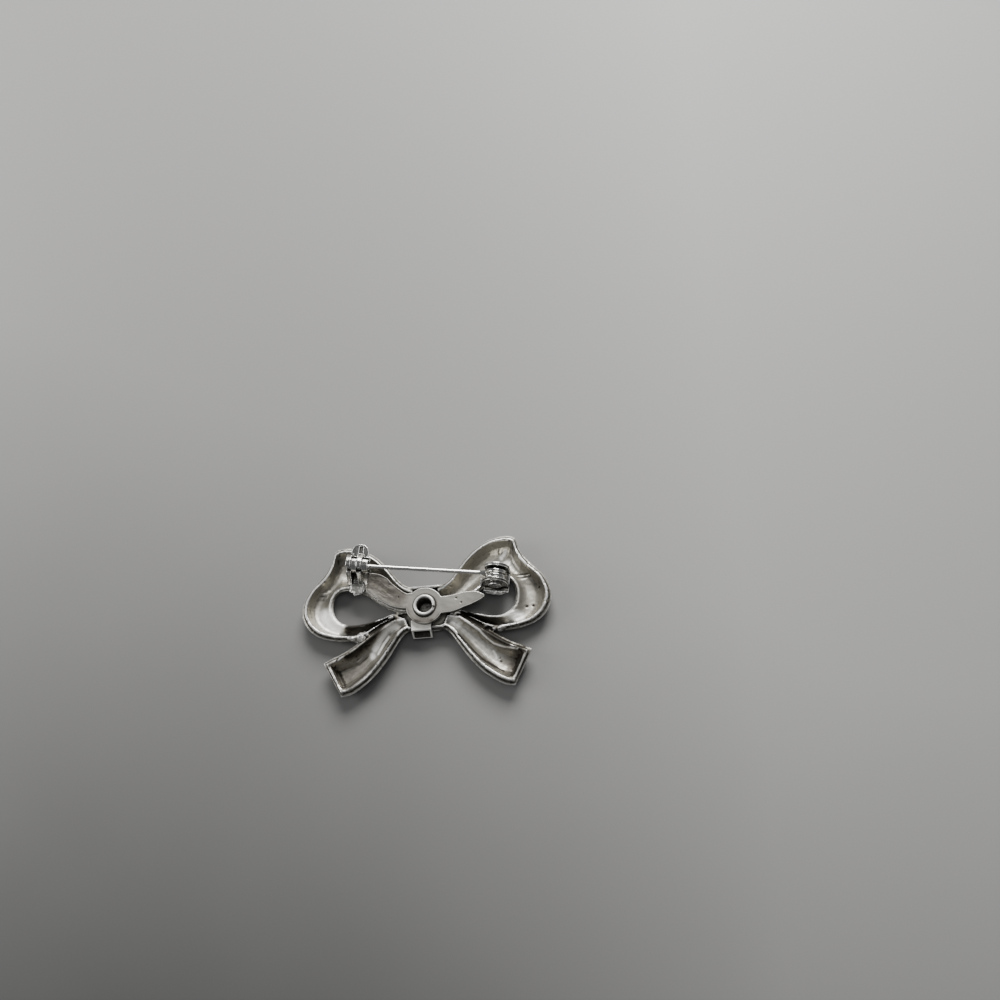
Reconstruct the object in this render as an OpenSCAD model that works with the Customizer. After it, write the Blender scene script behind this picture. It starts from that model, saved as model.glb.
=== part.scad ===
// Bow brooch seen from its back: cast hollow ribbons, a hub plate with a hollow rivet, and a pin with a
// roll-over safety catch. It lies on its front: +Z is the back, +Y is towards the loops' tops.
// The origin is the middle of the footprint, on the surface that the brooch lies on.

/* [Bow outline] */
// Reach of each loop to the side, from the middle of the bow
loop_reach = 22.3; // [21:0.1:25]
// Rise of the loops above the middle of the hub
loop_rise = 12.4; // [11.6:0.1:14]
// Drop of the loops' lower edges below the middle of the hub
loop_drop = 5.1; // [4.8:0.1:5.6]
// Reach of each tail's outer point to the side
tail_reach = 18.4; // [17.5:0.1:20]
// Drop of the tails' lowest points below the middle of the hub
tail_drop = 14.95; // [14:0.05:17]

/* [Bow metal] */
// Height of the ribbons' back rims above the surface
rim_h = 3.4; // [3.1:0.05:3.8]
// How much wider the left loop's opening is than the right one's, on each side of their mean
opening_skew = 0.4; // [0:0.05:0.6]
// Thickness of the metal under the deepest troughs
floor_t = 0.75; // [0.6:0.05:0.9]
// Width of the rims on their crests
rim_w = 0.5; // [0.4:0.05:0.6]
// Width of the thin border that stands out past the rims
border_w = 0.6; // [0.4:0.05:0.8]
// Thickness of the border
border_t = 0.5; // [0.4:0.05:0.6]
// Step from the rims down to the border
border_drop = 0.8; // [0.6:0.05:1]
// Width of the bevel along the loops' openings
lip_w = 0.25; // [0.2:0.05:0.35]
// Step of the bevel along the loops' openings
lip_drop = 0.25; // [0.15:0.05:0.4]

/* [Waist and knot] */
// Half width of the waist's web
waist_w = 3.1; // [2.6:0.1:3.6]
// Waist's upper edge above the middle of the hub
waist_rise = 4.0; // [3.8:0.05:4.3]
// Waist's lower edge below the middle of the hub
waist_drop = 3.8; // [3.6:0.05:4.1]
// Thickness of the waist's web
waist_t = 0.7; // [0.5:0.05:0.8]
// Width of the raised strip along the waist's two edges
waist_rim_w = 0.45; // [0.35:0.05:0.6]
// Width of the knot
knot_w = 6.4; // [5.6:0.1:7]
// Length of the knot
knot_l = 7.6; // [7:0.1:8.2]
// Thickness of the knot
knot_t = 1.15; // [0.9:0.05:1.25]
// Radius of the knot's crown
knot_crown = 7; // [6:0.5:10]

/* [Hub plate and eyelet] */
// Radius of the hub
hub_r = 3.3; // [3:0.05:3.5]
// Thickness of the hub plate
plate_t = 0.7; // [0.6:0.05:1]
// Radius of the eyelet's hole
eyelet_hole_r = 1.38; // [1.2:0.01:1.45]
// Wall of the eyelet's shank
eyelet_wall = 0.22; // [0.18:0.01:0.25]
// Width of the eyelet's rolled lip
eyelet_lip_w = 0.54; // [0.45:0.01:0.6]
// Thickness of the eyelet's closed end
eyelet_end_t = 0.4; // [0.3:0.05:0.6]
// Width of the notch in the rolled lip
eyelet_notch = 0.75; // [0.3:0.05:0.8]
// Direction of the notch
eyelet_notch_a = -22; // [-40:1:10]

/* [Box tube] */
// Width of the tube
tube_w = 3.5; // [3:0.1:3.8]
// Height of the tube
tube_h = 2.1; // [1.6:0.05:2.1]
// Wall of the tube
tube_wall = 0.3; // [0.25:0.05:0.5]
// Tube's middle, sideways from the middle of the bow
tube_x = -0.8; // [-1:0.05:0]
// Tube's inner end below the middle of the hub
tube_from = 2.3; // [2.1:0.05:2.6]
// Tube's upper open end below the middle of the hub
tube_to = 4.15; // [4:0.05:4.6]
// How much further the tube's lower wall reaches
tube_slant = 1.0; // [0.4:0.05:1.2]

/* [Pin] */
// Height of the pin's axis above the surface
pin_h = 5.4; // [5.3:0.05:6]
// Radius of the pin's wire
wire_r = 0.36; // [0.3:0.01:0.4]
// Radius of the wire inside the catch
needle_r = 0.28; // [0.2:0.01:0.3]
// Length of the needle's thin end
needle_l = 4.2; // [3.8:0.1:5]
// Length of the needle's point
point_l = 1.2; // [0.8:0.1:1.6]
// Length of the needle past the catch's middle
past_catch = 1.9; // [1.6:0.1:2.4]
// Width of the flared root, where the wire meets the knuckle
root_w = 1.3; // [1:0.05:1.5]
// Length of the flared root
root_l = 1.3; // [1:0.1:2]

/* [Hinge] */
// Radius of the ears' round tops
ear_r = 2.2; // [2:0.05:2.4]
// Thickness of each ear
ear_t = 0.55; // [0.45:0.05:0.7]
// Radius of the knuckle
knuckle_r = 1.85; // [1.6:0.05:1.9]
// Width of the knuckle
knuckle_w = 1.65; // [1.5:0.05:1.8]
// Depth of the groove round the knuckle
knuckle_groove = 0.3; // [0.1:0.05:0.4]
// Gap between the knuckle and the southern ear
gap_south = 0.12; // [0.08:0.01:0.2]
// Gap between the knuckle and the northern ear
gap_north = 0.4; // [0.1:0.05:0.5]
// Radius of the rivet
rivet_r = 0.6; // [0.5:0.05:0.7]
// Radius of the rivet's head
head_r = 1.15; // [0.9:0.05:1.3]
// Height of the rivet's head
head_t = 0.4; // [0.2:0.05:0.5]
// How far the bracket's base stands out past the ears
base_out = 0.85; // [0.6:0.05:1]
// Radius of the curled stop
stop_r = 0.75; // [0.6:0.05:0.9]

/* [Catch] */
// Outer radius of the collars
collar_r = 1.7; // [1.6:0.05:1.8]
// Thickness of each collar
collar_t = 0.85; // [0.7:0.05:0.95]
// Distance from the catch's middle to the middle of each collar
collar_x = 0.95; // [0.9:0.05:1.1]
// How far the left collar's leg stands out to the south
leg_left = 3.35; // [3:0.05:3.4]
// How far the right collar's leg stands out to the south
leg_right = 2.9; // [2.6:0.05:3.1]
// Radius of the round end of the catch's base
round_end = 1.2; // [1:0.05:1.3]
// Outer radius of the turning sleeve
sleeve_r = 1.1; // [1.05:0.05:1.15]
// Bore of the turning sleeve
sleeve_bore = 0.75; // [0.7:0.01:0.8]
// Radius of the sleeve's middle ring
ring_r = 1.5; // [1.4:0.05:1.55]
// Radius of the sleeve's end cup
cup_r = 1.4; // [1.3:0.05:1.5]
// Length of the sleeve's end cup
cup_l = 1.05; // [0.9:0.05:1.3]
// Width of the thumb lever's head
lever_w = 3.2; // [2.8:0.1:3.4]
// Length of the thumb lever's head, from the collars outwards
lever_l = 1.8; // [1.4:0.1:2]
// Thickness of the thumb lever
lever_t = 0.55; // [0.4:0.05:0.6]
// Tilt of the thumb lever above level
lever_tilt = 10; // [5:1:20]
// Half width of the mouth that the needle slips in through
mouth_w = 0.48; // [0.4:0.01:0.52]
// Direction of the mouth, in degrees from straight up towards the south
mouth_a = 54; // [50:1:58]
// How far the sleeve turns to bring its slot to the mouth
turn_a = 100; // [90:1:110]

/* [Fits] */
// Gap between pieces that are soldered or seated
seat_gap = 0.05; // [0.02:0.01:0.1]
// Radial gap of the turning fits
running_gap = 0.06; // [0.03:0.01:0.08]
// Thickness of the findings' base plates
base_t = 0.5; // [0.4:0.05:0.6]
// Width of the feet under the findings' base plates
foot_w = 2.2; // [1.8:0.1:2.4]

/* [Hidden] */
fine = 64;
hub_y = (tail_drop - loop_rise) / 2;

// Each row of the loop's table is one section across the ribbon, from the hub over the top, round the
// outside and back to the hub. Plan places are shares of the reach, and of the rise or the drop.
// Columns: inner edge x, inner edge y, outer edge x, outer edge y, lip height, rim height, floor height.
// The heights are shares of the rims' height.
LOOP_ROWS = [
    [0.108, -0.17, 0.099, 0.315, 0.90, 0.92, 0.50],
    [0.197, -0.15, 0.161, 0.363, 0.98, 1.00, 0.45],
    [0.260, -0.05, 0.224, 0.464, 1.00, 1.00, 0.36],
    [0.323, 0.048, 0.278, 0.597, 1.00, 1.00, 0.28],
    [0.386, 0.129, 0.341, 0.734, 0.95, 1.00, 0.24],
    [0.448, 0.222, 0.422, 0.863, 0.83, 1.00, 0.22],
    [0.516, 0.298, 0.520, 0.960, 0.80, 1.00, 0.22],
    [0.583, 0.343, 0.619, 1.000, 0.78, 1.00, 0.22],
    [0.622, 0.355, 0.686, 0.996, 0.76, 1.00, 0.24],
    [0.641, 0.355, 0.733, 0.956, 0.76, 1.00, 0.26],
    [0.661, 0.351, 0.751, 0.831, 0.76, 0.98, 0.28],
    [0.675, 0.343, 0.803, 0.665, 0.75, 0.97, 0.30],
    [0.686, 0.335, 0.874, 0.516, 0.74, 0.96, 0.33],
    [0.697, 0.323, 0.937, 0.395, 0.73, 0.96, 0.42],
    [0.715, 0.282, 0.978, 0.266, 0.70, 0.96, 0.34],
    [0.731, 0.210, 1.000, 0.129, 0.68, 0.96, 0.34],
    [0.735, 0.121, 0.998, 0.000, 0.67, 0.96, 0.36],
    [0.726, 0.024, 0.973, -0.284, 0.67, 0.95, 0.38],
    [0.704, -0.137, 0.924, -0.569, 0.68, 0.94, 0.42],
    [0.673, -0.275, 0.852, -0.784, 0.70, 0.94, 0.46],
    [0.637, -0.363, 0.762, -0.902, 0.73, 0.94, 0.48],
    [0.622, -0.382, 0.735, -0.931, 0.74, 0.94, 0.24],
    [0.574, -0.416, 0.646, -0.971, 0.78, 0.94, 0.22],
    [0.520, -0.412, 0.565, -0.980, 0.82, 0.93, 0.22],
    [0.457, -0.373, 0.489, -0.873, 0.86, 0.92, 0.24],
    [0.395, -0.324, 0.417, -0.667, 0.90, 0.92, 0.28],
    [0.332, -0.255, 0.345, -0.471, 0.92, 0.92, 0.34],
    [0.269, -0.157, 0.278, -0.343, 0.94, 0.94, 0.42],
    [0.188, -0.140, 0.197, -0.320, 0.92, 0.92, 0.50]];

// Each row of the tail's table is one section, from the hub to the tail's end, with the same columns.
// The first edge is the upper one. Places are shares of the tail's reach and drop.
TAIL_ROWS = [
    [0.212, -0.087, 0.158, -0.254, 0.90, 0.92, 0.74],
    [0.293, -0.090, 0.212, -0.298, 0.94, 0.96, 0.68],
    [0.380, -0.124, 0.266, -0.385, 0.96, 0.98, 0.56],
    [0.467, -0.191, 0.321, -0.492, 0.96, 1.00, 0.45],
    [0.554, -0.268, 0.386, -0.609, 0.96, 1.00, 0.36],
    [0.636, -0.338, 0.462, -0.726, 0.96, 1.00, 0.30],
    [0.707, -0.401, 0.549, -0.833, 0.96, 0.98, 0.26],
    [0.793, -0.465, 0.647, -0.923, 0.95, 0.97, 0.24],
    [0.897, -0.522, 0.739, -0.983, 0.94, 0.96, 0.24],
    [1.000, -0.582, 0.826, -1.000, 0.94, 0.96, 0.24]];

// Solder and casting lumps: x, y as shares of the loops' reach and drop, height as a share of the rims',
// radius as a share of the rims' height, and how far each is drawn out sideways as a share of the reach.
LUMPS = [
    [0.585, -0.93, 0.84, 0.16, 0.030],
    [0.545, -0.90, 0.80, 0.14, 0.020],
    [0.470, -0.80, 0.78, 0.12, 0.025],
    [0.235, -0.27, 0.80, 0.14, 0.030]];

// Places on the loops where the pin's axis crosses the hinge and the catch, as shares of reach and rise.
HINGE_AT = [0.585, 0.371];
CATCH_AT = [-0.541, 0.658];

// Outlines of the plate's arms, as shares of the loops' reach and rise.
LEFT_ARM = [
    [-0.060, 0.200], [-0.139, 0.198], [-0.175, 0.238], [-0.211, 0.294], [-0.256, 0.367], [-0.296, 0.456],
    [-0.345, 0.512], [-0.392, 0.540], [-0.455, 0.556], [-0.466, 0.274], [-0.413, 0.190], [-0.345, 0.109],
    [-0.278, 0.036], [-0.233, 0.004], [-0.170, -0.020], [-0.060, -0.020]];
RIGHT_ARM = [
    [0.060, 0.110], [0.157, 0.117], [0.215, 0.125], [0.283, 0.149], [0.336, 0.165], [0.395, 0.165],
    [0.439, 0.141], [0.478, 0.100], [0.478, 0.070], [0.448, 0.034], [0.404, -0.004], [0.359, -0.036],
    [0.314, -0.060], [0.269, -0.093], [0.215, -0.117], [0.060, -0.135]];

// Shapes of the trough and of the front's dome: the higher, the flatter in the middle.
trough_power = 2.6;
dome_power = 2.2;
trough_cuts = 8;
dome_cuts = 6;
// Where a trough is shallower than this share of the rims' height, the metal under it is thicker.
thick_from = 0.46;
// A ribbon narrower than this has a rim, a border and a lip that are narrower in proportion.
full_rim_from = 4.2;
// Levels of the findings.
lip_level = 0.84 * rim_h;
base_z = lip_level + seat_gap;
web_z = knot_t + seat_gap;
plate_z = max(rim_h, web_z + tube_h) + seat_gap;
plate_top = plate_z + plate_t;

function lerp(a, b, t) = a + (b - a) * t;
function cubic(a, b, c, d, t) =
    b + 0.5 * t * (c - a + t * (2 * a - 5 * b + 4 * c - d + t * (3 * (b - c) + d - a)));
// A table's row at any place between its rows: a smooth curve for the plan, straight for the heights.
function row_at(rows, u) =
    let (last = len(rows) - 1, i = min(floor(u), last - 1), t = u - i)
    let (a = rows[max(i - 1, 0)], b = rows[i], c = rows[i + 1], d = rows[min(i + 2, last)])
    [for (k = [0:6]) k < 4 ? cubic(a[k], b[k], c[k], d[k], t) : lerp(b[k], c[k], t)];
// Half the section: crest, shoulders and border along one edge, as distance from the edge and height.
function edge_points(h, out, drop, w) = [
    [0, h - drop],
    [out * 0.85, h - drop + 0.04],
    [out, h - 0.12],
    [out + w / 2, h],
    [out + w, h - 0.12]];
function mirrored(points, w) = [for (i = [len(points) - 1:-1:0]) [w - points[i][0], points[i][1]]];
// The section across a ribbon. rise lifts the trough's floor towards the rims, sink lowers the whole
// back to the border's level, and both are 0 along the ribbon's length.
function section(w, lip, rim, floor_z, in_out, in_drop, rise, sink) =
    let (k = min(1, w / full_rim_from), rw = rim_w * k, bi = in_out * k, bo = border_w * k)
    let (hi = lip - sink * (border_drop - 0.12), ho = rim - sink * (border_drop - 0.12))
    let (di = in_drop * (1 - sink) + 0.12 * sink, do = border_drop * (1 - sink) + 0.12 * sink)
    let (fz = lerp(floor_z, min(hi, ho) - 0.12, max(rise, sink)))
    let (a = bi + rw, b = w - bo - rw)
    let (under_i = lip - in_drop - border_t, under_o = rim - border_drop - border_t)
    let (low = max(0, min(floor_z, thick_from * rim_h) - floor_t))
    let (front = lerp(low, min(under_i, under_o), sink + 0.35 * rise * (1 - sink)))
    concat(
        edge_points(hi, bi, di, rw),
        [for (i = [1:trough_cuts - 1]) let (t = i / trough_cuts)
            [lerp(a, b, t), fz + (lerp(hi, ho, t) - 0.12 - fz) * pow(abs(2 * t - 1), trough_power)]],
        mirrored(edge_points(ho, bo, do, rw), w),
        [for (i = [dome_cuts:-1:0]) let (t = i / dome_cuts)
            [w * t, front + (lerp(under_i, under_o, t) - front) * pow(abs(2 * t - 1), dome_power)]]);
// A section set up across the ribbon, between its two edges in plan. skew moves the first edge in.
function ring(row, reach, rise_y, drop_y, in_out, in_drop, rise, sink, skew = 0) =
    let (p = [row[0] * reach - skew, row[1] * (row[1] > 0 ? rise_y : drop_y)])
    let (q = [row[2] * reach, row[3] * (row[3] > 0 ? rise_y : drop_y)])
    let (w = norm(q - p), dir = (q - p) / w)
    [for (s = section(w, row[4] * rim_h, row[5] * rim_h, row[6] * rim_h, in_out, in_drop, rise, sink))
        [p[0] + dir[0] * s[0], p[1] + dir[1] * s[0], s[1]]];

// The end of a skin: its section as triangles between its back points and its front points.
function end_cap(base, turned) =
    let (back = trough_cuts + 9, front = dome_cuts + 1)
    let (near = function(j) back + round((1 - (j + 0.5) / (back - 1)) * (front - 1)))
    let (cap = [for (j = [0:back - 2])
        each concat(
            [[j, j + 1, near(j)]],
            [for (i = [near(j + 1):near(j) - 1]) if (j < back - 2) [i, i + 1, j + 1]])])
    [for (t = cap) turned
        ? [base + t[2], base + t[1], base + t[0]]
        : [base + t[0], base + t[1], base + t[2]]];

// A closed skin through rings of equally many points.
module skin(rings) {
    n = len(rings[0]);
    m = len(rings);
    polyhedron(
        points = [for (r = rings) for (p = r) p],
        faces = concat(
            [for (i = [0:m - 2]) for (j = [0:n - 1]) let (k = (j + 1) % n)
                each [
                    [i * n + j, i * n + k, (i + 1) * n + k],
                    [i * n + j, (i + 1) * n + k, (i + 1) * n + j]]],
            end_cap(0, true),
            end_cap((m - 1) * n, false)),
        convexity = 10);
}

// side is 1 for the right loop, whose opening is the narrower one, and -1 for the left loop.
module loop(side) {
    steps = 2;
    last = len(LOOP_ROWS) - 1;
    skin([for (i = [0:last * steps])
        let (row = row_at(LOOP_ROWS, i / steps), skew = side * opening_skew * max(0, (row[0] - 0.5) / 0.235))
        ring(row, loop_reach, loop_rise, loop_drop, lip_w, lip_drop, 0, 0, skew)]);
}

// Places along the tail, with how far the floor is lifted and the back is sunk there: a wall closes the
// trough at the hub, and a wall with a border at the tail's end.
TAIL_ENDS = [
    [0.00, 1.0, 0], [0.18, 1.0, 0], [0.40, 0.45, 0], [0.70, 0.05, 0],
    [8.15, 0.0, 0], [8.38, 0.3, 0], [8.52, 1.0, 0], [8.70, 1.0, 0], [8.76, 0.0, 0.86], [9.00, 0.0, 1]];

module tail() {
    head = [for (e = TAIL_ENDS) if (e[0] < 1) e];
    middle = [for (u = [1:0.5:8]) [u, 0, 0]];
    foot = [for (e = TAIL_ENDS) if (e[0] > 8) e];
    all = concat(head, middle, foot);
    skin([for (i = [len(all) - 1:-1:0]) let (e = all[i])
        ring(row_at(TAIL_ROWS, e[0]), tail_reach, tail_drop, tail_drop, border_w, border_drop, e[1], e[2])]);
}

module both_sides() {
    children();
    mirror([1, 0, 0]) children();
}

// Moves a piece from the middle of the hub to the middle of the footprint.
module at_hub() {
    translate([0, hub_y, 0]) children();
}

// Turns a piece into line with the pin: x along the pin towards the hinge, y across it, z up.
pin_from = [CATCH_AT[0] * loop_reach, CATCH_AT[1] * loop_rise];
pin_to = [HINGE_AT[0] * loop_reach, HINGE_AT[1] * loop_rise];
pin_run = norm(pin_to - pin_from);
pin_a = atan2(pin_to[1] - pin_from[1], pin_to[0] - pin_from[0]);
module at_hinge() {
    at_hub() translate([pin_to[0], pin_to[1], pin_h]) rotate([0, 0, pin_a]) children();
}
module at_catch() {
    at_hub() translate([pin_from[0], pin_from[1], pin_h]) rotate([0, 0, pin_a]) children();
}

module waist() {
    translate([-waist_w, -waist_drop, web_z]) cube([2 * waist_w, waist_drop + waist_rise, waist_t]);
    translate([-waist_w * 1.35, -waist_drop * 0.8, web_z]) cube([2.7 * waist_w, waist_drop * 0.7, waist_t]);
    for (y = [-waist_drop, waist_rise - waist_rim_w])
        translate([-waist_w, y, web_z]) cube([2 * waist_w, waist_rim_w, rim_h * 0.92 - web_z]);
}

module lumps() {
    for (p = LUMPS)
        let (r = p[3] * rim_h, out = p[4] * loop_reach)
        translate([p[0] * loop_reach, p[1] * loop_drop, p[2] * rim_h])
            hull() {
                sphere(r = r, $fn = 12);
                translate([out, out / 3, 0]) sphere(r = r * 0.75, $fn = 12);
            }
}

module bow() {
    color("silver") at_hub() difference() {
        union() {
            loop(1);
            mirror([1, 0, 0]) loop(-1);
            both_sides() tail();
            both_sides() lumps();
            waist();
        }
        // seat of the knot
        translate([-knot_w / 2 - seat_gap, -knot_l / 2 - seat_gap, -1])
            cube([knot_w + 2 * seat_gap, knot_l + 2 * seat_gap, web_z + 1]);
        // way of the eyelet's shank, and room under the hub plate
        translate([0, 0, -1]) cylinder(r = eyelet_hole_r + eyelet_wall + seat_gap, h = 9, $fn = 32);
        translate([0, 0, web_z + waist_t]) cylinder(r = hub_r - 0.9, h = 9, $fn = 32);
        // way of the box tube
        translate([tube_x - tube_w / 2 - seat_gap, -tail_drop, web_z - seat_gap])
            cube([tube_w + 2 * seat_gap, tail_drop - tube_from + seat_gap, 9]);
    }
}

// Plain crowned pad: a block with rounded corners, cut by two large cylinders.
module knot() {
    corner = knot_w / 5;
    color("silver") at_hub() intersection() {
        linear_extrude(knot_t) union() {
            square([knot_w - 2 * corner, knot_l], center = true);
            square([knot_w, knot_l - 2 * corner], center = true);
            for (x = [-1, 1]) for (y = [-1, 1])
                translate([x * (knot_w / 2 - corner), y * (knot_l / 2 - corner)])
                    circle(r = corner, $fn = fine);
        }
        translate([0, -knot_l, knot_crown]) rotate([-90, 0, 0])
            cylinder(r = knot_crown, h = 2 * knot_l, $fn = fine);
    }
}

module arm(points) {
    linear_extrude(plate_t) polygon([for (p = points) [p[0] * loop_reach, p[1] * loop_rise]]);
}

module hub_plate() {
    color("silver") at_hub() translate([0, 0, plate_z]) difference() {
        union() {
            cylinder(r = hub_r, h = plate_t, $fn = fine);
            arm(LEFT_ARM);
            arm(RIGHT_ARM);
        }
        translate([0, 0, -1])
            cylinder(r = eyelet_hole_r + eyelet_wall + seat_gap, h = plate_t + 2, $fn = fine);
    }
}

module eyelet() {
    shank_r = eyelet_hole_r + eyelet_wall;
    lip = eyelet_lip_w / 2;
    color("gainsboro") at_hub() difference() {
        union() {
            translate([0, 0, web_z]) cylinder(r = shank_r, h = plate_top + lip - web_z, $fn = fine);
            translate([0, 0, plate_top + lip]) rotate_extrude($fn = fine)
                translate([eyelet_hole_r + lip, 0]) circle(r = lip, $fn = fine);
        }
        translate([0, 0, web_z + eyelet_end_t]) cylinder(r = eyelet_hole_r, h = 9, $fn = fine);
        rotate([0, 0, eyelet_notch_a]) translate([eyelet_hole_r - 0.3, -eyelet_notch / 2, plate_top + 0.06])
            cube([2, eyelet_notch, 2]);
    }
}

module box_tube() {
    far = tube_to + tube_slant;
    color("silver") at_hub() translate([tube_x, 0, web_z]) difference() {
        translate([-tube_w / 2, -far, 0]) cube([tube_w, far - tube_from, tube_h]);
        translate([-tube_w / 2 + tube_wall, -far - 1, tube_wall])
            cube([tube_w - 2 * tube_wall, far - tube_from + 1 - tube_wall, tube_h - 2 * tube_wall]);
        // slanting end
        rotate([90, 0, 90]) translate([0, 0, -tube_w]) linear_extrude(2 * tube_w)
            polygon([
                [-far - 1, 0], [-far, 0], [-tube_to, tube_h],
                [-tube_to, tube_h + 1], [-far - 1, tube_h + 1]]);
    }
}

// A slot from the pin's axis outwards, in a direction given from straight up towards the south.
module mouth(dir) {
    rotate(dir) translate([-mouth_w, 0]) square([2 * mouth_w, 2 * collar_r]);
}

// A plate across the pin, from one place along it to another, drawn in y and z.
module across(from, to) {
    translate([from, 0, 0]) rotate([90, 0, 90]) linear_extrude(to - from) children();
}

// The frame's collars: side along the pin, and how far each leg stands out to the south.
COLLARS = [[-1, leg_left], [1, leg_right]];

module catch_frame() {
    base_top = base_z + base_t - pin_h;
    half = collar_x + collar_t / 2;
    foot_z = floor_t + 0.88;
    jaw = [-collar_r * sin(mouth_a + 16), collar_r * cos(mouth_a + 16)];
    color("silver") at_catch() difference() {
        union() {
            for (c = COLLARS)
                across(c[0] * collar_x - collar_t / 2, c[0] * collar_x + collar_t / 2) union() {
                    circle(r = collar_r, $fn = fine);
                    polygon([
                        [-c[1], base_top - 0.1], jaw, [0, 0],
                        [collar_r, 0], [collar_r - 0.3, base_top - 0.1]]);
                }
            // base with a rounded end towards the opening, and a foot in the trough
            translate([0, 0, base_z - pin_h]) linear_extrude(base_t) union() {
                translate([-half, -leg_left - 0.05]) square([2 * half, leg_left + 0.05 + collar_r]);
                translate([round_end / 2, -leg_left - round_end / 3]) circle(r = round_end, $fn = fine);
            }
            translate([-foot_w / 2, -leg_left / 2 - foot_w / 3, foot_z - pin_h])
                cube([foot_w, foot_w, base_z - foot_z + 0.1]);
        }
        across(-half - 1, half + 1) circle(r = sleeve_r + running_gap, $fn = fine);
        across(-half - 1, half + 1) mouth(mouth_a);
    }
}

// Outline of the thumb lever's head, as shares of its half width and of its length.
LEVER_HEAD = [
    [-1.00, 0.00], [-0.97, 0.35], [-0.84, 0.68], [-0.55, 0.92], [-0.20, 1.00],
    [0.20, 1.00], [0.55, 0.92], [0.84, 0.68], [0.97, 0.35], [1.00, 0.00]];

module catch_rotor() {
    ring_half = collar_x - collar_t / 2 - 0.08;
    cup_from = collar_x + collar_t / 2 + 0.08;
    // the lever's neck stands on the middle ring and its foot on the cup, with the right collar between
    neck = ring_half - 0.05;
    foot = [cup_from + 0.05, cup_from + cup_l - 0.2];
    low = sleeve_bore + 0.2;
    head = collar_r + 0.12;
    lever_x = cup_from + cup_l - 0.15 - lever_w / 2;
    color("gainsboro") at_catch() difference() {
        union() {
            across(-collar_x - collar_t / 2, cup_from + 0.1) circle(r = sleeve_r, $fn = fine);
            across(-ring_half, ring_half) circle(r = ring_r, $fn = fine);
            across(cup_from, cup_from + cup_l) circle(r = cup_r, $fn = fine);
            rotate([lever_tilt, 0, 0]) difference() {
                translate([0, 0, -lever_t / 2]) linear_extrude(lever_t) polygon(concat(
                    [[-neck, low], [-neck, head]],
                    [for (p = LEVER_HEAD) [lever_x + p[0] * lever_w / 2, head + p[1] * lever_l]],
                    [[foot[1], head], [foot[1], low], [foot[0], low], [foot[0], head]],
                    [[neck, head], [neck, low]]));
                // shallow pocket in the head
                translate([lever_x - lever_w * 0.06, head + lever_l * 0.08, 0])
                    cube([lever_w * 0.22, lever_l * 0.72, lever_t]);
            }
        }
        across(-9, 9) circle(r = sleeve_bore, $fn = fine);
        across(-9, 9) mouth(mouth_a - turn_a);
    }
}

// Where the knuckle and the ears lie across the pin.
knuckle_north = 0.3;
knuckle_south = knuckle_north - knuckle_w;
ear_south = knuckle_south - gap_south - ear_t;
ear_north = knuckle_north + gap_north;

// A plate that faces along the hinge's axis, drawn in x and z.
module facing(from, to) {
    translate([0, to, 0]) rotate([90, 0, 0]) linear_extrude(to - from) children();
}

module hinge_bracket() {
    base_low = base_z - pin_h;
    base_south = ear_south - base_out;
    base_north = ear_north + ear_t;
    foot_z = 0.785 * rim_h;
    color("silver") at_hinge() difference() {
        union() {
            for (y = [ear_south, ear_north])
                facing(y, y + ear_t) union() {
                    circle(r = ear_r, $fn = fine);
                    translate([-ear_r, base_low + 0.1]) square([2 * ear_r, -base_low - 0.1]);
                }
            translate([-ear_r, base_south, base_low]) cube([2 * ear_r, base_north - base_south, base_t]);
            translate([-foot_w / 2, base_north - 0.9, foot_z - pin_h])
                cube([foot_w, 0.9, base_z - foot_z + 0.1]);
            // curled stop on the base's edge
            facing(ear_south, ear_south + 1.3) translate([-ear_r, base_low + stop_r]) difference() {
                circle(r = stop_r, $fn = fine);
                circle(r = stop_r - 0.35, $fn = fine);
                translate([-2, 0.25]) square([4, 2]);
                translate([0, -2]) square([2, 4]);
            }
        }
        facing(-9, 9) circle(r = rivet_r + seat_gap, $fn = fine);
    }
}

module hinge_rivet() {
    from = ear_south - seat_gap;
    to = ear_north + ear_t + seat_gap;
    color("gainsboro") at_hinge() {
        facing(from - head_t, to + head_t * 0.6) circle(r = rivet_r, $fn = fine);
        // south head with a shallow dimple
        difference() {
            facing(from - head_t, from) circle(r = head_r, $fn = fine);
            facing(from - head_t - 1, from - head_t * 0.6) circle(r = head_r * 0.62, $fn = fine);
        }
        facing(from - head_t * 0.8, from) circle(r = head_r * 0.4, $fn = fine);
        facing(to, to + head_t * 0.6) circle(r = head_r * 0.85, $fn = fine);
    }
}

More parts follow.
